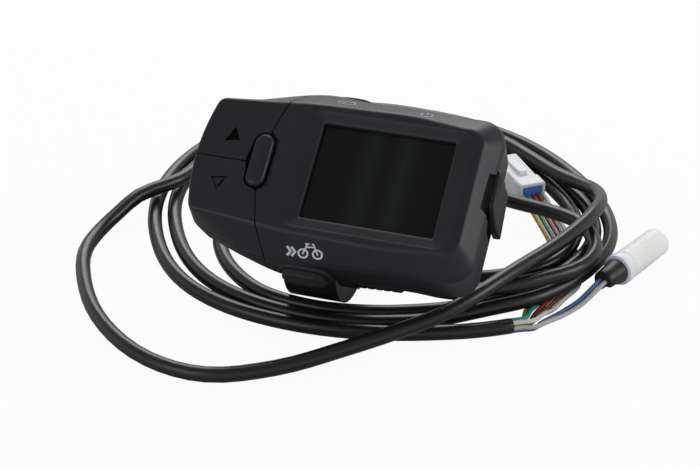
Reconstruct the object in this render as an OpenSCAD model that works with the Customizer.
// Handlebar display with a built-in keypad, its bar clamp and its coiled cable.
// The housing lies tilted on its clamp ring, as it does on a table.
// Housing frame: x along the handlebar, y up the face, z out of the face.

/* [Housing] */
// Length along the handlebar
housing_len = 80; // [74:1:92]
// Greatest height across the face
housing_h = 50; // [48:0.5:58]
// Depth from the face to the back
housing_depth = 20; // [19.5:0.25:23]
// Thickness of the moulded walls
wall = 2; // [1.8:0.1:2.2]
// Reach of the right end past the middle of the window
right_reach = 29.5; // [28.5:0.25:34]
// Inset of the face outline at the right end
face_inset = 4.5; // [3.5:0.25:6]
// Outward bow of the left end
end_bow = 2.4; // [1:0.1:4]
// Corner radius of the face
face_corner_r = 4.5; // [3:0.25:6]
// Corner radius of the widest line
flank_corner_r = 7; // [5:0.25:9]
// Narrowing of the side walls toward the back
back_draft = 0.8; // [0.4:0.1:1.2]
// Thickness of the rear cover
cover_t = 2.4; // [2.2:0.1:2.8]
// Tilt of the face back from level
face_tilt = 39; // [39:0.5:42]

/* [Screen] */
// Width of the window
window_w = 36; // [32:0.5:37]
// Height of the window
window_h = 27; // [24:0.5:28]
// Depth of the dished bezel at the window
dish_depth = 0.8; // [0.4:0.1:1.1]
// Width of the dish beside the window
dish_margin_x = 4.4; // [3:0.2:5]
// Width of the dish above and below the window
dish_margin_y = 3; // [2:0.2:3.4]
// Thickness of the window glass
lens_t = 1.3; // [1:0.1:1.4]
// Overlap of the glass behind the bezel
lens_overlap = 2.4; // [1.6:0.1:2.6]
// Thickness of the screen module
screen_t = 2.6; // [2:0.1:2.8]

/* [Keys] */
// Thickness of the key plates
key_t = 1.8; // [1.6:0.1:2]
// Gap round the keys
key_gap = 0.3; // [0.2:0.05:0.4]
// Travel of the face keys
key_travel = 0.35; // [0.2:0.05:0.4]
// Depth of the seam under the arrow keys
key_seam = 8; // [7:0.25:8.5]
// Width of the mode key
mode_w = 5.6; // [4.6:0.1:6]
// Length of the mode key
mode_len = 15.4; // [13:0.2:16]
// Height of the mode key over the face
mode_proud = 1; // [0.5:0.1:1.6]
// Depth of the arrows on the keys
arrow_depth = 0.3; // [0.1:0.05:0.5]

/* [Side buttons] */
// Length of the walk button
walk_w = 12.6; // [10:0.2:13]
// Length of the two upper buttons
upper_button_w = 10; // [8:0.2:11]
// Height of the side buttons
button_h = 7.2; // [6:0.1:7.4]
// Height of the walk button over the wall
walk_proud = 3; // [1.5:0.1:3.5]
// Height of the upper buttons over the wall
upper_proud = 1.2; // [0.8:0.1:2]
// Travel of the side buttons
button_travel = 0.6; // [0.4:0.05:0.7]

/* [Port] */
// Width of the port cover
flap_w = 13; // [12:0.25:14]
// Length of the port cover along the depth
flap_len = 13.6; // [12.5:0.2:14]
// Thickness of the port cover
flap_t = 2.2; // [1.6:0.1:2.6]
// Opening angle of the port cover
flap_open = 110; // [60:5:120]

/* [Bar clamp] */
// Radius of the handlebar
bar_r = 11.1; // [11.1:0.05:11.6]
// Outer radius of the clamp ring
ring_r = 15.5; // [15:0.1:16]
// Width of the clamp ring
ring_w = 15; // [12:0.5:16]
// Slit between the two lugs
slit = 2; // [1:0.1:3]
// Radius of the clamp screw
clamp_screw_r = 2; // [1.5:0.1:2]

/* [Cable] */
// Diameter of the display cable
cable_d = 4.2; // [3.8:0.1:4.2]
// Diameter of the single wires
wire_d = 1.3; // [1:0.05:1.3]

/* [Hidden] */
$fn = 48;
over = 0.5;
touch = 0.02;
slack = 0.2;
half_h = housing_h / 2;
left_tip = right_reach - housing_len;

// Rows from the right end to the left: place along the length, half height of the face,
// half height of the widest line (both of half the housing's height), depth of that line
profile_shares = [[0.13, 0.70, 0.92, 0.26], [0.30, 0.752, 0.935, 0.26],
  [0.47, 0.745, 0.955, 0.32], [0.64, 0.73, 1, 0.40], [0.81, 0.685, 0.875, 0.40],
  [0.955, 0.655, 0.715, 0.40]];
end_shares = [0.88, 0.6, 0.3, 0.08];
FACE = 1;
FLANK = 2;
DEPTH = 3;
edge_steps = 12;
face_tip_inset = 0.4;
crease_inset = 0.5;
crease_share = 0.08;
parting = housing_depth - cover_t;
cover_mid = 1.2;
cover_edge = 1.5;
cover_edge_mid = 0.3;

// Value of column c in table T at place t, by a smooth curve through its rows
function row(T, t, i = 0) = i >= len(T) - 2 || t < T[i + 1][0] ? i : row(T, t, i + 1);
function slope(T, i, c) =
  let (a = max(i - 1, 0), b = min(i + 1, len(T) - 1)) (T[b][c] - T[a][c]) / (T[b][0] - T[a][0]);
function at(T, t, c) =
  let (i = row(T, t), h = T[i + 1][0] - T[i][0], u = (t - T[i][0]) / h)
  (2 * u ^ 3 - 3 * u ^ 2 + 1) * T[i][c] + (u ^ 3 - 2 * u ^ 2 + u) * h * slope(T, i, c)
  + (3 * u ^ 2 - 2 * u ^ 3) * T[i + 1][c] + (u ^ 3 - u ^ 2) * h * slope(T, i + 1, c);
function x_at(s) = right_reach - s * housing_len;
function share_at(x) = (right_reach - x) / housing_len;
function clamp_share(s) = min(max(s, profile_shares[0][0]), profile_shares[5][0]);
function half_at(x, c) = half_h * at(profile_shares, clamp_share(share_at(x)), c);
function depth_at(x) = housing_depth * at(profile_shares, clamp_share(share_at(x)), DEPTH);
// Place of the side wall at x and at depth d
function side_y(x, d) =
  half_at(x, FLANK) - back_draft * (d - depth_at(x)) / (parting - depth_at(x));
// Upper half of an outline, from the right end round to the left end
function half_outline(c, right, tip, r) = concat(
  [for (a = [0:15:75]) [right - r + r * cos(a), half_h * profile_shares[0][c] - r + r * sin(a)]],
  [for (k = [0:edge_steps])
    let (s = profile_shares[0][0] + (profile_shares[5][0] - profile_shares[0][0]) * k / edge_steps)
    [x_at(s), half_h * at(profile_shares, s, c)]],
  [for (e = end_shares) [tip + end_bow * e ^ 2, half_h * profile_shares[5][c] * e]]);
function mirrored(h) = concat(h, [for (i = [len(h) - 1:-1:0]) [h[i][0], -h[i][1]]]);
face_line = mirrored(half_outline(FACE, right_reach - face_inset, left_tip + face_tip_inset,
  face_corner_r));
flank_line = mirrored(half_outline(FLANK, right_reach, left_tip, flank_corner_r));
count = len(flank_line);
function unit(v) = v / norm(v);
// The outline p moved inward by d
function inset(p, d) = [for (i = [0:len(p) - 1])
  let (u = unit(p[i] - p[(i + len(p) - 1) % len(p)]), v = unit(p[(i + 1) % len(p)] - p[i]))
  p[i] + d * [-(u + v)[1], (u + v)[0]] / (1 + u * v)];
function level(p, z) = [for (q = p) [q[0], q[1], z]];
// Ring at share t of the way from the face to the widest line, moved inward by d
function facet(t, d) =
  let (m = [for (i = [0:count - 1]) face_line[i] + t * (flank_line[i] - face_line[i])],
    n = inset(m, d))
  [for (i = [0:count - 1]) [n[i][0], n[i][1], -t * depth_at(m[i][0])]];
function lowered(p, z) = [for (q = p) [q[0], q[1], q[2] - z]];

// Solid through a stack of rings with as many points each, the top ring first
module loft(rings) {
  n = len(rings[0]);
  m = len(rings);
  polyhedron([for (r = rings) each r], concat(
    [[for (i = [n - 1:-1:0]) i]],
    [for (j = [0:m - 2], i = [0:n - 1])
      let (a = j * n + i, b = j * n + (i + 1) % n) each [[a, b, b + n], [a, b + n, a + n]]],
    [[for (i = [0:n - 1]) (m - 1) * n + i]]));
}

module seat() translate([seat_x, seat_y, seat_z]) rotate([face_tilt, 0, 0]) children();
module stadium(w, h) {
  square([w - h, h], center = true);
  for (s = [-1, 1]) translate([s * (w - h) / 2, 0]) circle(d = h);
}
module plate(w, h, r) {
  square([w - 2 * r, h], center = true);
  square([w, h - 2 * r], center = true);
  for (i = [-1, 1], j = [-1, 1]) translate([i * (w / 2 - r), j * (h / 2 - r)]) circle(r);
}

module outer_shell() loft([level(inset(face_line, crease_inset), 0), facet(crease_share, 0),
  facet(1, 0), level(inset(flank_line, back_draft), -parting)]);
cavity_top_share = 0.45;
cavity_drop_share = 0.38;
module cavity() loft([level(inset(face_line, wall * cavity_top_share), -wall),
  lowered(facet(1, wall), wall * cavity_drop_share),
  level(inset(flank_line, wall + back_draft), -parting - over)]);

// Keys at the left end. The outline runs between the keys and the screen side.
key_edge_shares = [[0.641, 1.4], [0.7225, 0.712], [0.756, 0.328], [0.756, -0.328],
  [0.7225, -0.712], [0.641, -1.4]];
recess_shares = [[0.751, 0.316], [0.730, 0.232], [0.729, -0.256], [0.7575, -0.328],
  [0.7975, -0.268], [0.815, 0], [0.8075, 0.156]];
key_split_share = -0.032;
key_split = half_h * key_split_share;
up_arrow_shares = [[0.884, 0.332], [0.9075, 0.164], [0.856, 0.192]];
down_arrow_shares = [[0.9175, -0.264], [0.860, -0.232], [0.8875, -0.40]];
mode_x = x_at(0.77);
mode_gap = 0.55;
arrow_x = x_at(0.8815);
arrow_y_share = 0.34;
arrow_y = half_h * arrow_y_share;
key_ledge = key_seam + over;
skirt_gap = 0.8;
deck_t = 1.4;
deck_top = wall + deck_t;
deck_share = deck_top / (profile_shares[5][DEPTH] * housing_depth);
table_wall = 1.2;
board_top = 8;
board_t = 1.6;
board_inset = 4.6;
board_clear = 0.3;
board_back = board_top + board_t;
function placed(shares) = [for (p = shares) [x_at(p[0]), half_h * p[1]]];
module key_region(grow) {
  far = [left_tip - housing_h, housing_h];
  polygon(concat([for (p = placed(key_edge_shares)) p + [grow, 0]],
    [[far[0], -far[1]], [far[0], far[1]]]));
}
module mode_recess() polygon(placed(recess_shares));
module slab(top, bottom) translate([0, 0, -bottom]) linear_extrude(bottom - top) children();

// Table under the keys, inside their skirts, on a ledge of the side walls
function flat(p) = [for (q = p) [q[0], q[1]]];
table_inset = key_t + skirt_gap;
deck_reach = x_at(0.70);
module left_part(extra = 0) intersection() {
  children();
  translate([deck_reach + extra - housing_len, -half_h]) square([housing_len, housing_h]);
}
module table_outline(d) left_part() polygon(flat(facet(deck_share, d)));
module key_table() {
  slab(deck_top, deck_top + deck_t) union() {
    table_outline(table_inset);
    difference() {
      table_outline(wall / 2);
      key_region(0);
    }
  }
  slab(deck_top + touch, key_ledge + table_wall) difference() {
    table_outline(table_inset);
    table_outline(table_inset + table_wall);
  }
  slab(key_ledge, key_ledge + table_wall) left_part() difference() {
    polygon(inset(flank_line, wall / 2));
    polygon(flat(facet(deck_share, table_inset + table_wall / 2)));
  }
}

// Screw bosses, the same places in both halves of the case
boss_r = 2.8;
boss_gap = 0.2;
case_screw_r = 1.1;
case_head_r = 2.1;
case_head_t = 1.6;
case_screw_len = 8;
boss_shares = [[0.0875, 0.648], [0.0875, -0.648], [0.8625, 0.52], [0.8625, -0.52]];
boss_rib = 1.2;
module at_bosses() for (p = placed(boss_shares)) translate(p) children();
module bosses() {
  at_bosses() slab(board_back, parting) circle(boss_r);
  for (p = placed(boss_shares)) {
    reach = side_y(p[0], parting) - wall / 2 - abs(p[1]);
    slab(board_back, parting - lip_h - slack)
      translate([p[0] - boss_rib / 2, p[1] > 0 ? p[1] : p[1] - reach]) square([boss_rib, reach]);
  }
}

// Side buttons: centre along x, side of the case, size
button_depth = 12.1;
button_lip = 0.6;
crown = 0.6;
lip_t = 1.2;
collar = 1.2;
collar_proud = 0.8;
button_clear = 0.2;
walk_x = -15.5;
light_x = -14;
power_x = 8;
module in_side(x, side, y) translate([x, side * y, -button_depth]) rotate([90, 0, 0])
  children();
module side_prism(x, side, w, h, inner, outer) in_side(x, side, (inner + outer) / 2)
  linear_extrude(outer - inner, center = true) stadium(w, h);
module button_opening(x, side, w) {
  side_prism(x, side, w, button_h, lip_y(x, w) - over,
    side_y(x, button_depth) + collar_proud + over);
}
module button_collar(x, side, w) {
  y = side_y(x, button_depth);
  side_prism(x, side, w + 2 * collar, button_h + 2 * collar, y - wall + slack, y + collar_proud);
}
// Place of a button's lip behind the sloping wall
function lip_y(x, w) = min([for (e = [-1, 1]) side_y(x + e * (w / 2 + button_lip),
  button_depth + button_h / 2 + button_lip)]) - wall - button_clear;
module side_button(x, side, w, proud) {
  y = side_y(x, button_depth);
  inner = lip_y(x, w);
  side_prism(x, side, w - 2 * button_clear, button_h - 2 * button_clear, inner - touch,
    y + proud - crown);
  side_prism(x, side, w - 2 * button_clear - crown, button_h - 2 * button_clear - crown,
    y, y + proud);
  side_prism(x, side, w + 2 * button_lip, button_h + 2 * button_lip, inner - lip_t, inner);
}

// Port in the right end
port_y = 1.5;
socket_h = 3.2;
socket_w = 9;
socket_len = 7.3;
socket_wall = 0.3;
port_depth = board_back + socket_h / 2;
flap_y = port_y + 1;
flap_depth = 13;
flap_clear = 0.3;
hinge_gap = 0.1;
flap_depth_x = 0.6;
pocket_x = right_reach - flap_depth_x - hinge_gap;
hinge_x = right_reach - flap_depth_x + flap_t / 2;
hinge_y = flap_y + flap_w / 2 - flap_t / 2;
anchor_w = 3.2;
anchor_margin = 1.8;
anchor_len = flap_len - 2 * anchor_margin;
flap_plug = 1;
lip_len = 1.4;
lip_out = 0.8;
module flap_pocket() translate([pocket_x, flap_y - flap_w / 2 - flap_clear, -flap_depth])
  translate([0, 0, -flap_len / 2 - flap_clear])
    cube([face_inset, flap_w + 2 * flap_clear, flap_len + 2 * flap_clear]);
module socket_opening() translate([right_reach - wall * 2, port_y, -port_depth])
  rotate([90, 0, 90]) linear_extrude(wall * 2 + over)
    stadium(socket_w + 2 * flap_clear, socket_h + 2 * flap_clear);
module anchor_block(grow) translate([right_reach - wall - over - grow,
  hinge_y - grow, -flap_depth - anchor_len / 2 - grow])
  cube([wall + over - flap_depth_x / 2 + grow * 2, anchor_w + 2 * grow, anchor_len + 2 * grow]);

// Seat of the housing: it leans on the clamp ring, centred over the origin
bar_x = -18.5;
bar_y = -7.8;
bar_depth = 32.6;
bar_z = -bar_depth;
lug_end = 18.8;
lug_end_r = 5;
lug_t = 4.5;
lug_turn = 20;
lug_lean = face_tilt - lug_turn;
seat_x = (housing_len - 2 * right_reach - (flap_t - flap_depth_x + lip_out)) / 2;
seat_front = (side_y(walk_x, button_depth) + walk_proud) * cos(face_tilt)
  - (button_depth - button_h / 2 + button_clear + crown / 2) * sin(face_tilt);
seat_back = bar_y * cos(face_tilt) + bar_depth * sin(face_tilt)
  + (lug_end + lug_end_r) * cos(lug_lean) + (slit / 2 + lug_t) * sin(lug_lean);
seat_y = (seat_front - seat_back) / 2;
seat_z = ring_r - bar_y * sin(face_tilt) - bar_z * cos(face_tilt);

// Dished bezel round the window
module dish() hull() {
  translate([0, 0, -dish_depth]) linear_extrude(touch) plate(window_w + slack,
    window_h + slack, dish_depth);
  linear_extrude(over) plate(window_w + 2 * dish_margin_x, window_h + 2 * dish_margin_y,
    dish_margin_y);
}

module front_housing() color("#1b1c1e") seat() {
  difference() {
    union() {
      difference() {
        outer_shell();
        cavity();
        slab(-over, key_ledge) key_region(0);
      }
      key_table();
      bosses();
      button_collar(walk_x, -1, walk_w);
      button_collar(light_x, 1, upper_button_w);
      button_collar(power_x, 1, upper_button_w);
    }
    dish();
    slab(-over, wall + over) plate(window_w, window_h, dish_depth);
    button_opening(walk_x, -1, walk_w);
    button_opening(light_x, 1, upper_button_w);
    button_opening(power_x, 1, upper_button_w);
    slab(-over, dish_depth) mode_recess();
    slab(-over, deck_top) translate([mode_x, 0])
      rotate(90) stadium(mode_len + 2 * key_gap, mode_w + 2 * key_gap);
    key_holes();
    at_bosses() slab(board_back + over, parting + over) circle(case_screw_r + touch);
    flap_pocket();
    socket_opening();
    anchor_block(touch);
  }
}

lip_gap = 1;
lip_h = 1;
lip_wall = 1.2;
boot_y = -19;
boot_depth = 22.5;
boot_r = 3.4;
boot_end_r = 2.7;
boot_back_x = -9;
boot_face_x = -4;
boot_end_x = 8;
boot_seat_r = 3.7;
module along_exit(from, to) translate([from, boot_y, -boot_depth]) rotate([90, 0, 90])
  linear_extrude(to - from) children();
module ring_band(outer, inner, top, bottom) difference() {
  slab(top, bottom) polygon(inset(flank_line, outer));
  slab(top - over, bottom + over) polygon(inset(flank_line, inner));
}
module rear_housing() color("#1a1b1d") seat() difference() {
  union() {
    loft([level(inset(flank_line, back_draft), -parting),
      level(inset(flank_line, back_draft + cover_edge_mid), -parting - cover_mid),
      level(inset(flank_line, back_draft + cover_edge), -housing_depth)]);
    difference() {
      ring_band(wall + back_draft + lip_gap, wall + back_draft + lip_gap + lip_wall,
        parting - lip_h, parting + over);
      at_bosses() slab(parting - housing_depth / 2, parting) circle(boss_r + boss_gap);
    }
    along_exit(boot_back_x, boot_face_x) {
      circle(boot_seat_r);
      translate([-boot_seat_r, 0]) square([2 * boot_seat_r, boot_depth - parting - cover_mid]);
    }
  }
  at_bosses() slab(parting - over, housing_depth + over) circle(case_screw_r + touch);
  at_bosses() slab(housing_depth - case_head_t, housing_depth + over) circle(case_head_r + touch);
  along_exit(boot_back_x + wall, boot_face_x + over) circle(cable_d / 2 + touch);
  along_exit(boot_face_x, boot_end_x + over) circle(boot_seat_r + slack);
  along_exit(boot_back_x + wall, boot_face_x - wall / 2)
    translate([-cable_d / 4, 0]) square([cable_d / 2, boot_depth]);
  for (p = bracket_screw_places) translate(p)
    slab(parting + cover_mid / 2, housing_depth + over) circle(bracket_screw_r + touch);
  flap_pocket();
  anchor_block(touch);
}
module housing_seal() color("#3a3a3a") seat() difference() {
  ring_band(wall + back_draft + slack / 2, wall + back_draft + lip_gap - slack / 2,
    parting - lip_h, parting);
  at_bosses() slab(parting - housing_depth / 2, housing_depth) circle(boss_r + boss_gap);
}
drive_w = 0.7;
drive_len = 2.4;
drive_depth = 0.9;
module cross_drive() for (turn = [0, 90]) rotate(turn) square([drive_len, drive_w], center = true);
module case_screws() color("silver") seat() at_bosses() {
  difference() {
    slab(housing_depth - case_head_t, housing_depth) circle(case_head_r);
    slab(housing_depth - drive_depth, housing_depth + over) cross_drive();
  }
  slab(housing_depth - case_head_t - case_screw_len, housing_depth - case_head_t)
    circle(case_screw_r);
}

lens_w = window_w + 2 * lens_overlap;
lens_h = window_h + 2 * lens_overlap;
tape_t = 0.2;
module screen_lens() color("#0d0e10") seat() slab(wall + tape_t, wall + tape_t + lens_t)
  plate(lens_w, lens_h, lens_overlap / 2);
module lens_tape() color("#101010") seat() slab(wall, wall + tape_t) difference() {
  plate(lens_w, lens_h, lens_overlap / 2);
  plate(window_w, window_h, dish_depth);
}
screen_top = wall + tape_t + lens_t + tape_t / 2;
screen_edge_x = 1.75;
screen_edge_y = 2;
screen_w = window_w + 2 * screen_edge_x;
screen_h = window_h + 2 * screen_edge_y;
screen_corner_r = 0.4;
screen_shift = -0.75;
holder_wall = 1.2;
module screen_module() color("#2c3036") seat() translate([screen_shift, 0])
  slab(screen_top, screen_top + screen_t) plate(screen_w, screen_h, screen_corner_r);
module screen_holder() color("#c9cac6") seat() translate([screen_shift, 0]) difference() {
  slab(screen_top + slack, board_top) plate(screen_w + 2 * holder_wall,
    screen_h + 2 * holder_wall, holder_wall);
  slab(screen_top - over, screen_top + screen_t + touch) plate(screen_w + slack / 2,
    screen_h + slack / 2, screen_corner_r);
}
module board_notch(x, side, w) {
  edge = lip_y(x, w) - lip_t - button_travel - board_clear;
  translate([x - w / 2 - button_lip - slack, side > 0 ? edge : -edge - housing_h])
    square([w + 2 * button_lip + 2 * slack, housing_h]);
}
module main_board() color("#1d5a34") seat() slab(board_top, board_back) difference() {
  polygon(inset(flank_line, board_inset));
  board_notch(walk_x, -1, walk_w);
  board_notch(light_x, 1, upper_button_w);
  board_notch(power_x, 1, upper_button_w);
  left_part(slack) difference() {
    square(2 * housing_len, center = true);
    polygon(flat(facet(deck_share, table_inset + table_wall + slack)));
  }
}

// Push switches under the face keys, and side ones under the board's edge
switch_w = 5.2;
switch_t = 3;
stem_r = 1.7;
stem_h = 0.8;
stem_top = board_top - switch_t - stem_h;
stem_hole_r = stem_r + slack;
plunger_r = 1.6;
plunger_gap = 0.4;
key_places = [[mode_x, 0], [arrow_x, arrow_y], [arrow_x, -arrow_y]];
module key_switches() color("silver") seat() for (p = key_places) translate(p) {
  slab(board_top - switch_t, board_top) square(switch_w, center = true);
  slab(stem_top, board_top - switch_t) circle(stem_r);
}
side_switch_d = 3.8;
side_switch_h = 5;
side_stem = 1.2;
module side_switch(x, side, w) {
  tip = lip_y(x, w) - lip_t - button_travel - slack / 4;
  translate([x - switch_w / 2, side > 0 ? tip - side_stem - side_switch_d : side_stem - tip,
    -board_back - side_switch_h]) cube([switch_w, side_switch_d, side_switch_h]);
  in_side(x, side, tip - side_stem / 2) cylinder(r = stem_r, h = side_stem, center = true);
}
module button_switches() color("silver") seat() {
  side_switch(walk_x, -1, walk_w);
  side_switch(light_x, 1, upper_button_w);
  side_switch(power_x, 1, upper_button_w);
}

// Snap legs of the arrow keys: place, and the side to which the hook points
leg_w = 3;
leg_t = 1.2;
hook = 0.7;
hook_gap = 0.4;
hook_t = 0.9;
leg_bottom = deck_top + deck_t + hook_gap + hook_t;
leg_shares = [[0.785, 0.52], [0.925, 0.24]];
module key_holes() {
  for (p = key_places) translate(p) slab(deck_top - over, deck_top + deck_t + over)
    circle(stem_hole_r);
  for (side = [-1, 1], p = placed(leg_shares)) translate([p[0], side * p[1]])
    slab(deck_top - over, deck_top + deck_t + over)
      translate([-hook / 2, 0]) square([leg_t + hook + 2 * key_gap, leg_w + 2 * key_gap],
        center = true);
}
seal_t = 0.8;
seal_clear = 0.6;
module key_seal() color("#303234") seat() difference() {
  intersection() {
    slab(deck_top - seal_t, deck_top)
      polygon(flat(facet(deck_share, table_inset + seal_clear)));
    slab(0, deck_top) translate([-wall, 0]) key_region(0);
  }
  slab(0, deck_top + over) translate([mode_x, 0]) rotate(90)
    stadium(mode_len + 2 * flange + 4 * slack, mode_w + 2 * flange + 4 * slack);
  for (p = key_places) translate(p) slab(0, deck_top + over) circle(stem_hole_r);
  for (side = [-1, 1], p = placed(leg_shares)) translate([p[0], side * p[1]])
    slab(0, deck_top + over) translate([-hook / 2, 0])
      square([leg_t + hook + 2 * key_gap, leg_w + 2 * key_gap], center = true);
}

module key_shell() difference() {
  outer_shell();
  loft([level(inset(face_line, key_t * cavity_top_share), -key_t),
    lowered(facet(1, key_t), key_t * cavity_drop_share),
    level(inset(flank_line, key_t), -parting - over)]);
}
module arrow_key(side) {
  difference() {
    intersection() {
      key_shell();
      slab(-over, key_seam) difference() {
        key_region(-key_gap);
        mode_recess();
        translate([mode_x, 0]) rotate(90) stadium(mode_len + 2 * mode_gap, mode_w + 2 * mode_gap);
        translate([left_tip - housing_len, side > 0 ? key_split + key_gap / 2 - housing_h * 2
          : key_split - key_gap / 2]) square([2 * housing_len, 2 * housing_h]);
      }
    }
    slab(-over, arrow_depth) polygon(placed(side > 0 ? up_arrow_shares : down_arrow_shares));
  }
  translate([arrow_x, side * arrow_y]) slab(key_t - slack, stem_top - plunger_gap)
    circle(plunger_r);
  for (p = placed(leg_shares)) translate([p[0], side * p[1]]) {
    slab(key_t - slack, leg_bottom) square([leg_t, leg_w], center = true);
    slab(deck_top + deck_t + hook_gap, leg_bottom) translate([-hook, 0])
      square([leg_t, leg_w], center = true);
  }
}
module up_key() color("#1e1f21") seat() arrow_key(1);
module down_key() color("#1e1f21") seat() arrow_key(-1);
flange = 0.8;
flange_drop = 0.45;
rest_gap = 0.1;
flange_top = key_t + flange_drop;
flange_bottom = deck_top - key_travel - rest_gap;
module mode_key() color("#232427") seat() translate([mode_x, 0]) {
  crown = mode_proud / 2;
  rotate(90) {
    slab(-crown, flange_bottom) stadium(mode_len, mode_w);
    slab(-mode_proud, 0) stadium(mode_len - crown, mode_w - crown);
    slab(flange_top, flange_bottom) square([mode_len - mode_w, mode_w + 2 * flange],
      center = true);
  }
  slab(flange_bottom - slack, stem_top - plunger_gap) circle(plunger_r);
}
module headlight_button() color("#202123") seat()
  side_button(light_x, 1, upper_button_w, upper_proud);
module power_button() color("#202123") seat()
  side_button(power_x, 1, upper_button_w, upper_proud);
module walk_button() color("#202123") seat() side_button(walk_x, -1, walk_w, walk_proud);

module port_socket() color("silver") seat() translate([pocket_x - flap_clear - socket_len,
  port_y, -port_depth]) rotate([90, 0, 90]) {
  linear_extrude(socket_len) difference() {
    stadium(socket_w, socket_h);
    stadium(socket_w - 2 * socket_wall, socket_h - 2 * socket_wall);
  }
  linear_extrude(socket_wall) stadium(socket_w - socket_wall, socket_h - socket_wall);
  translate([-socket_w / 2 + wall, -socket_wall, 0]) cube([socket_w - 2 * wall,
    2 * socket_wall, socket_len - wall]);
}
module port_flap() color("#212225") seat() {
  translate([hinge_x, hinge_y, -flap_depth]) {
    cylinder(r = flap_t / 2, h = flap_len, center = true);
    translate([0, -(flap_w - flap_t / 2) / 2, 0]) cube([flap_t, flap_w - flap_t / 2, flap_len],
      center = true);
    translate([-flap_t / 2, flap_t / 2 - flap_w, -flap_len / 2])
      cube([flap_t + lip_out, lip_len, flap_len]);
  }
  translate([pocket_x - flap_plug, port_y, -port_depth]) rotate([90, 0, 90])
    linear_extrude(flap_plug + slack) stadium(socket_w - 2 * socket_wall - 2 * slack,
      socket_h - 2 * socket_wall - 2 * slack);
}
module flap_anchor() color("#212225") seat() difference() {
  anchor_block(0);
  translate([hinge_x, hinge_y, -flap_depth])
    cylinder(r = flap_t / 2 + hinge_gap, h = housing_h, center = true);
}

rib_w = 1;
module cable_boot() color("#161719") seat() translate([boot_face_x, boot_y, -boot_depth])
  rotate([0, 90, 0]) {
    cylinder(r1 = boot_r, r2 = boot_end_r, h = boot_end_x - boot_face_x);
    for (k = [0:4]) translate([0, 0, k * 2 * rib_w])
      cylinder(r = boot_seat_r - k * (boot_seat_r - boot_end_r) / 6, h = rib_w);
  }

// Bar clamp: a slit ring on a base that is screwed to the back
base_t = 3;
base_left = 7;
base_y_low = -12.2;
base_y_high = 12.2;
base_notch = 9;
bar_clear = 0.4;
bracket_screw_r = 1.25;
bracket_head_r = 2.1;
bracket_head_t = 1.2;
bracket_screw_y = 9.8;
bracket_reach = ring_w / 2 + base_left / 2;
bracket_screw_places = [[bar_x - bracket_reach, bar_y + bracket_screw_y],
  [bar_x + bracket_reach, bar_y + bracket_screw_y],
  [bar_x - bracket_reach, bar_y - bracket_screw_y]];
module in_lug() translate([bar_x, bar_y, bar_z]) rotate([-lug_turn, 0, 0]) children();
module clamp_bracket() color("#191a1c") seat() difference() {
  union() {
    translate([bar_x, bar_y, bar_z]) rotate([0, 90, 0]) cylinder(r = ring_r, h = ring_w,
      center = true);
    difference() {
      slab(housing_depth, housing_depth + base_t) translate([bar_x, bar_y]) polygon([
        [-ring_w / 2 - base_left, base_y_low], [ring_w / 2, base_y_low],
        [ring_w / 2, base_y_low + base_notch], [ring_w / 2 + base_left, base_y_low + base_notch],
        [ring_w / 2 + base_left, base_y_high], [-ring_w / 2 - base_left, base_y_high]]);
      translate([bar_x, bar_y, bar_z]) rotate([0, 90, 0]) cylinder(r = bar_r + bar_clear,
        h = housing_len, center = true);
    }
    in_lug() linear_extrude(slit + 2 * lug_t, center = true) {
      translate([-lug_end_r, bar_r + wall / 2]) square([2 * lug_end_r, lug_end - bar_r - wall / 2]);
      translate([0, lug_end]) circle(lug_end_r);
    }
  }
  translate([bar_x, bar_y, bar_z]) rotate([0, 90, 0]) cylinder(r = bar_r, h = ring_w + over,
    center = true);
  slab(0, housing_depth) translate([bar_x, bar_y]) square(housing_h, center = true);
  in_lug() translate([0, lug_end, 0]) {
    translate([-housing_h / 2, -lug_end, -slit / 2]) cube([housing_h, lug_end + housing_h, slit]);
    cylinder(r = clamp_screw_r + slack / 2, h = housing_h, center = true);
    translate([0, 0, slit / 2 + lug_t - nut_sink]) rotate(30)
      cylinder(r = nut_r + slack / 2, h = nut_t, $fn = 6);
  }
  for (p = bracket_screw_places) translate(p) slab(housing_depth - over, housing_depth
    + base_t + over) circle(bracket_screw_r + touch);
}
bracket_screw_len = base_t + cover_t - cover_mid;
module bracket_screws() color("silver") seat() for (p = bracket_screw_places) translate(p) {
  difference() {
    slab(housing_depth + base_t, housing_depth + base_t + bracket_head_t) circle(bracket_head_r);
    slab(housing_depth + base_t + bracket_head_t - drive_depth, housing_depth + 2 * base_t)
      cross_drive();
  }
  slab(housing_depth + base_t - bracket_screw_len, housing_depth + base_t)
    circle(bracket_screw_r);
}
nut_r = 4.04;
nut_t = 3.2;
nut_sink = 2.6;
head_r = 3.5;
head_t = 4;
hex_r = 1.73;
screw_past = 1.5;
module clamp_screw() color("silver") seat() in_lug() translate([0, lug_end, 0]) difference() {
  union() {
    translate([0, 0, -slit / 2 - lug_t]) cylinder(r = clamp_screw_r,
      h = slit + 2 * lug_t + screw_past);
    translate([0, 0, -slit / 2 - lug_t - head_t]) cylinder(r = head_r, h = head_t);
  }
  translate([0, 0, -slit / 2 - lug_t - head_t - over]) cylinder(r = hex_r, h = head_t / 2 + over,
    $fn = 6);
}
module clamp_nut() color("silver") seat() in_lug()
  translate([0, lug_end, slit / 2 + lug_t - nut_sink]) difference() {
    rotate(30) cylinder(r = nut_r, h = nut_t, $fn = 6);
    translate([0, 0, -over]) cylinder(r = clamp_screw_r + touch, h = nut_t + 2 * over);
  }

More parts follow.
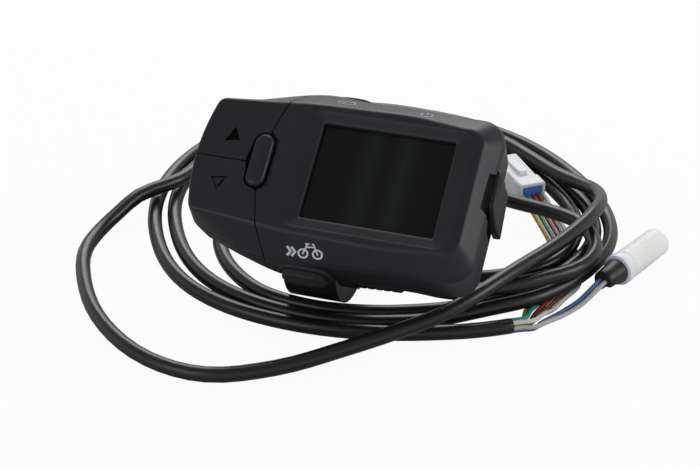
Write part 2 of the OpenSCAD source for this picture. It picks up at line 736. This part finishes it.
// Coil of the cable on the table: angle round its centre, radius, height of the centre line
coil_left = 19.7;
coil_back = 59.4;
coil_x = seat_x - coil_left;
coil_y = seat_y + coil_back;
exit_height = seat_z + boot_y * sin(face_tilt) - boot_depth * cos(face_tilt);
exit_y = boot_y * cos(face_tilt) + boot_depth * sin(face_tilt) - coil_back;
exit_x = boot_end_x + coil_left;
function polar(p) = [atan2(p[1], p[0]), norm([p[0], p[1]]), p[2]];
coil_route = concat([polar([exit_x, exit_y, exit_height]),
  polar([exit_x + cable_d, exit_y, exit_height])], [
  [-57.6, 68.1, 14.4], [-53, 66.4, 11.8], [-49, 64.6, 9.9], [-44, 64, 8.9], [-39, 65.4, 8.8],
  [-35, 67, 9], [-29, 68.8, 9], [-23, 71.2, 8.9], [-17, 72, 8.7], [-10, 70.3, 8.7],
  [-4, 66, 8.7], [1, 60.8, 8.6], [6, 52.6, 7.8], [12, 43, 6.9], [20, 33.5, 6.8], [30, 27.5, 6.8],
  [45, 22.5, 6.8], [60, 20.5, 6.8], [75, 20, 6.6], [90, 20.8, 6], [105, 22.5, 5],
  [120, 25, 3.8], [135, 28, 2.7], [150, 31, 2.1], [165, 33.5, 2.1], [180, 35.5, 2.1],
  [210, 36.5, 2.1], [240, 33, 2.1], [255, 30.5, 2.1], [270, 29.3, 2.1], [285, 31, 2.1],
  [300, 36, 2.1], [315, 43.5, 2.1], [330, 53, 2.8], [345, 60.5, 3.8],
  [360, 61, 3.8], [370, 59.9, 3], [380, 58.4, 2.1], [390, 56.4, 2.1], [405, 55, 2.1], [420, 55, 2.1],
  [450, 55.4, 2.1], [480, 55.8, 2.2], [495, 56.2, 3.4], [510, 56.8, 5.6], [525, 57, 6.8],
  [540, 57.2, 6.8], [550, 60, 7], [558, 70, 6.4], [563, 75.6, 4.3],
  [568, 81.3, 2.4], [575, 86.5, 2.1],
  [585, 90.8, 2.1], [600, 97, 2.1], [612, 100, 2.1], [622, 98.3, 2.4], [632, 91, 4],
  [642, 82.8, 6.2], [652, 77.4, 8.4], [662, 74, 10.6], [671, 70.6, 12.7], [680, 67, 13.5],
  [690, 64.6, 13.4], [705, 64.4, 13.4], [718, 66, 13.4], [728, 66.6, 11.8], [737, 65.2, 9.6],
  [745, 61, 7.8], [753, 57, 7], [765, 54.5, 6.8], [780, 54, 6.8], [795, 53.6, 6.6],
  [810, 52.5, 6], [825, 50.6, 4], [840, 48.2, 2.4], [855, 46.6, 2.1], [870, 45.4, 2.1],
  [900, 43.5, 2.1], [930, 46, 2.1], [945, 49.6, 2.1], [960, 53.4, 2.1], [975, 56.6, 2.1],
  [990, 57.5, 2.1], [1005, 57.6, 2.1], [1020, 58.3, 2.1], [1035, 60.9, 2.6], [1050, 64.3, 3.9],
  [1065, 65.8, 3.9], [1080, 66.1, 3.2], [1095, 64.4, 2.2], [1110, 61.4, 2.1],
  [1125, 59.9, 2.1], [1140, 59.7, 2.1], [1170, 60.2, 2.1], [1200, 61, 2.1], [1230, 61.5, 2.1],
  [1260, 60.6, 2.1], [1290, 59.2, 2.1], [1320, 61.6, 2.1], [1335, 62, 2.1],
  [1350, 62.3, 2.1], [1365, 62.7, 2.1], [1380, 63.3, 2.2], [1395, 65.8, 3.9], [1410, 69.2, 4.2],
  [1425, 70.6, 4], [1440, 70.9, 3.2], [1455, 69.2, 2.1], [1470, 66.4, 2.1],
  [1485, 64.9, 2.1], [1500, 64.8, 2.1], [1530, 66, 2.1], [1545, 68.5, 2.1], [1560, 70.3, 2.1],
  [1590, 68.4, 2.1], [1620, 66, 2.1], [1650, 65.2, 2.1], [1680, 67.8, 2.1], [1710, 67.1, 2.1],
  [1725, 67.5, 2.1], [1740, 69.2, 2.1], [1750, 71.6, 2.1], [1758, 73.8, 2.1]]);
ring_step = 15;
ring_angles = [for (i = [0:len(coil_route) - 2])
  let (a = coil_route[i][0], b = coil_route[i + 1][0], n = ceil((b - a) / ring_step - 1 / ring_step))
  for (k = [0:n - 1]) a + (b - a) * k / n];
coil_end = coil_route[len(coil_route) - 1][0];
function coil_point(a) = let (r = at(coil_route, a, 1))
  [coil_x + r * cos(a), coil_y + r * sin(a), max(at(coil_route, a, 2), cable_d / 2)];
cable_line = concat([for (a = ring_angles) coil_point(a)], [coil_point(coil_end)]);
cable_sides = 6;
wire_sides = 6;

// One tube of n sides along the points p. The ends lie square to start and finish.
function heading(p, i, start, finish) = i == 0 && start != undef ? start
  : i == len(p) - 1 && finish != undef ? finish
  : unit(p[min(i + 1, len(p) - 1)] - p[max(i - 1, 0)]);
module tube(p, d, n, start, finish) {
  m = len(p);
  points = [for (i = [0:m - 1])
    let (t = heading(p, i, start, finish), s = unit(cross([0, 0, 1], t)), w = cross(t, s))
    for (k = [0:n - 1]) p[i] + d / 2 * (cos(360 * k / n + 180 / n) * s + sin(360 * k / n
      + 180 / n) * w)];
  polyhedron(points, concat([[for (k = [0:n - 1]) k]],
    [for (i = [0:m - 2], k = [0:n - 1])
      let (a = i * n + k, b = i * n + (k + 1) % n) each [[a, a + n, b + n], [a, b + n, b]]],
    [[for (k = [n - 1:-1:0]) (m - 1) * n + k]]));
}
module display_cable() color("#1c1d1f") tube(cable_line, cable_d, cable_sides, [1, 0, 0]);

// Least gap of the cable to itself, measured on points along its straight pieces
sub = 4;
fine = [for (i = [0:len(cable_line) - 2], k = [0:sub - 1])
  cable_line[i] + (cable_line[i + 1] - cable_line[i]) * k / sub];
along = [for (i = 0, s = 0; i < len(fine); s = s + (i < len(fine) - 1
  ? norm(fine[i + 1] - fine[i]) : 0), i = i + 1) s];
apart = 6 * cable_d;
echo(cable_length = along[len(along) - 1], least_gap = min([for (i = [0:len(fine) - 1],
  j = [i + 1:len(fine) - 1]) if (along[j] - along[i] > apart) norm(fine[i] - fine[j])]) - cable_d);

// Single wires. Route points from the coil's centre: x, y, height, share of the full spread,
// share of the height that each wire has in the jacket.
jacket_end = cable_line[len(cable_line) - 1];
jacket_dir = unit(cable_line[len(cable_line) - 1] - cable_line[len(cable_line) - 2]);
wire_pitch = 1.6;
pack_r = 1.38;
// Places of the seven wires in the jacket: to the left, and up
pack_shares = [[1, 0], [0.5, 0.87], [0.5, -0.87], [0, 0], [-0.5, 0.87], [-0.5, -0.87], [-1, 0]];
function packed(k) = let (s = unit(cross([0, 0, 1], jacket_dir)))
  pack_r * (pack_shares[k][0] * s + [0, 0, pack_shares[k][1]]);
motor_route = [[58.8, -46, 2.07, 0.35, 1], [59, -40.5, 1.42, 0.71, 0.48],
  [59.8, -35.4, 0.79, 1, 0], [61.8, -28, 0.72, 1, 0], [63.6, -21.5, 0.72, 1, 0],
  [63, -13, 0.72, 1, 0], [59.5, -5, 0.72, 1, 0], [55.4, 3.5, 0.75, 1, 0],
  [51, 10.4, 1.6, 1, 0], [47.2, 15.2, 3.2, 1, 0]];
light_route = [[60.3, -46.8, 2.04, 0.3, 0.9], [62.3, -43.5, 1.63, 0.8, 0.56],
  [66.1, -37.1, 0.96, 1, 0.08], [69.6, -31.5, 1.8, 1, 0], [72, -27, 3.4, 1, 0]];
motor_end = [43.6, 19.8, 4.2];
motor_turn = 128;
light_start = [73.8, -23, 4.5];
light_turn = 69;
function bearing(a) = [cos(a), sin(a), 0];
function left_of(v) = unit([-v[1], v[0], 0]);
function spread_line(route, start, last, turn, k, s) =
  let (c = concat([start], [for (q = route) [q[0], q[1], q[2]]], [last]), n = len(c))
  [for (i = [1:n - 1])
    let (v = i == n - 1 ? bearing(turn) : c[i + 1] - c[i - 1],
      w = i == n - 1 ? 1 : route[i - 1][3], h = i == n - 1 ? 0 : route[i - 1][4])
    c[i] + left_of(v) * (s * wire_pitch * w + pack_r * pack_shares[k][0] * (1 - w))
      + [0, 0, pack_r * pack_shares[k][1] * h]];
coil_c = [coil_x, coil_y, 0];
// Ways of a wire: it leaves the jacket and meets its connector straight
function wire_line(route, last, turn, k, s) =
  let (e = jacket_end + packed(k),
    far = spread_line(route, jacket_end - coil_c, last, turn, k, s))
  concat([e + jacket_dir * 2 * wire_d],
    [for (i = [0:len(far) - 2]) coil_c + far[i]],
    [coil_c + far[len(far) - 1] - bearing(turn) * 2 * wire_d]);
function curve(p, i, u) = let (a = p[max(i - 1, 0)], b = p[i], c = p[i + 1],
  d = p[min(i + 2, len(p) - 1)])
  b + u / 2 * (c - a + u * (2 * a - 5 * b + 4 * c - d + u * (3 * (b - c) + d - a)));
function smooth(p) = concat([for (i = [0:len(p) - 2], u = [0, 0.5]) curve(p, i, u)],
  [p[len(p) - 1]]);
module wire(route, last, turn, k, s) {
  far = spread_line(route, jacket_end - coil_c, last, turn, k, s);
  tube(concat([jacket_end + packed(k)], smooth(wire_line(route, last, turn, k, s)),
    [coil_c + far[len(far) - 1]]), wire_d, wire_sides, jacket_dir, bearing(turn));
}
module motor_wire(k) wire(motor_route, motor_end, motor_turn, k, 2 - k);
light_middle = 5.5;
module light_wire(k) wire(light_route, light_start + light_depth * bearing(light_turn),
  light_turn, k, light_middle - k);
module yellow_wire() color("#d9b23a") motor_wire(0);
module green_wire() color("#1d9c84") motor_wire(1);
module red_wire() color("#b3262e") motor_wire(2);
module brown_wire() color("#6b4a2f") motor_wire(3);
module white_wire() color("#e8e6e0") motor_wire(4);
module blue_wire() color("#2d4f9e") light_wire(5);
module grey_wire() color("#9a9a98") light_wire(6);

// Block connector on the long wires
plug_len = 21;
plug_w = 8.4;
plug_h = 8.2;
plug_wall = 1;
retainer_len = 3;
retainer_out = 1;
latch_w = 3;
latch_t = 1;
contact_w = 0.8;
contact_pitch = 1.3;
module in_plug() translate(coil_c + [motor_end[0], motor_end[1], plug_h / 2])
  rotate(motor_turn) rotate([90, 0, 90]) children();
module motor_connector() color("#e9e9e6") in_plug() difference() {
  union() {
    linear_extrude(plug_len) plate(plug_w, plug_h, plug_wall);
    translate([-latch_w / 2, plug_h / 2 - touch, plug_len / 3])
      cube([latch_w, latch_t, plug_len / 2]);
  }
  translate([0, 0, -over]) linear_extrude(retainer_len + over)
    plate(plug_w - 2 * plug_wall, plug_h - 2 * plug_wall, plug_wall / 2);
  translate([0, 0, plug_len / 2]) linear_extrude(plug_len)
    plate(plug_w - 2 * plug_wall, plug_h - 2 * plug_wall, plug_wall / 2);
}
module connector_retainer() color("#3f7fc4") in_plug() difference() {
  linear_extrude(retainer_len) plate(plug_w - 2 * plug_wall - 2 * touch,
    plug_h - 2 * plug_wall - 2 * touch, plug_wall / 2);
  for (k = [-2:2]) translate([k * contact_pitch, 0, -over]) linear_extrude(over + touch)
    circle(wire_d / 4);
}
module motor_contacts() color("#c9a64a") in_plug() for (k = [-2:2])
  translate([k * contact_pitch - contact_w / 2, -contact_w / 2, plug_len / 2])
    cube([contact_w, contact_w, plug_len / 3]);

// Round connector on the short pair
sleeve_len = 7.4;
sleeve_r = 2.9;
sleeve_end_r = 3.6;
light_depth = 2;
rib_share = 0.6;
collar_r = 4.5;
collar_len = 3.6;
barrel_r = 4.2;
barrel_len = 17.6;
barrel_wall = 1.1;
module in_light() translate(coil_c + [light_start[0], light_start[1], collar_r])
  rotate(light_turn) rotate([0, 90, 0]) children();
module wire_sleeve() color("#1a1b1d") in_light() difference() {
  cylinder(r1 = sleeve_r, r2 = sleeve_end_r, h = sleeve_len);
  for (s = [-1, 1]) translate([0, s * wire_pitch / 2, -over])
    cylinder(r = wire_d / 2 + touch, h = light_depth + over);
}
module connector_collar() color("#dfe3ea") in_light() translate([0, 0, sleeve_len])
  cylinder(r = collar_r, h = collar_len);
module light_connector() color("#f0f0ee") in_light() translate([0, 0, sleeve_len + collar_len])
  difference() {
    union() {
      cylinder(r = barrel_r, h = barrel_len);
      translate([-barrel_r - slack, -rib_w, 0]) cube([barrel_r, 2 * rib_w, barrel_len * rib_share]);
    }
    translate([0, 0, barrel_len / 3]) cylinder(r = barrel_r - barrel_wall, h = barrel_len);
  }
module light_contacts() color("#c9a64a") in_light() for (s = [-1, 1])
  translate([0, s * wire_pitch / 2, sleeve_len + collar_len + barrel_len / 3])
    cylinder(r = contact_w / 2, h = barrel_len / 2, $fn = 16);

front_housing();
rear_housing();
housing_seal();
screen_lens();
lens_tape();
screen_module();
screen_holder();
main_board();
key_switches();
button_switches();
key_seal();
up_key();
down_key();
mode_key();
headlight_button();
power_button();
walk_button();
port_socket();
port_flap();
flap_anchor();
case_screws();
cable_boot();
clamp_bracket();
bracket_screws();
clamp_screw();
clamp_nut();
display_cable();
yellow_wire();
brown_wire();
red_wire();
green_wire();
white_wire();
blue_wire();
grey_wire();
motor_connector();
connector_retainer();
motor_contacts();
light_connector();
connector_collar();
wire_sleeve();
light_contacts();
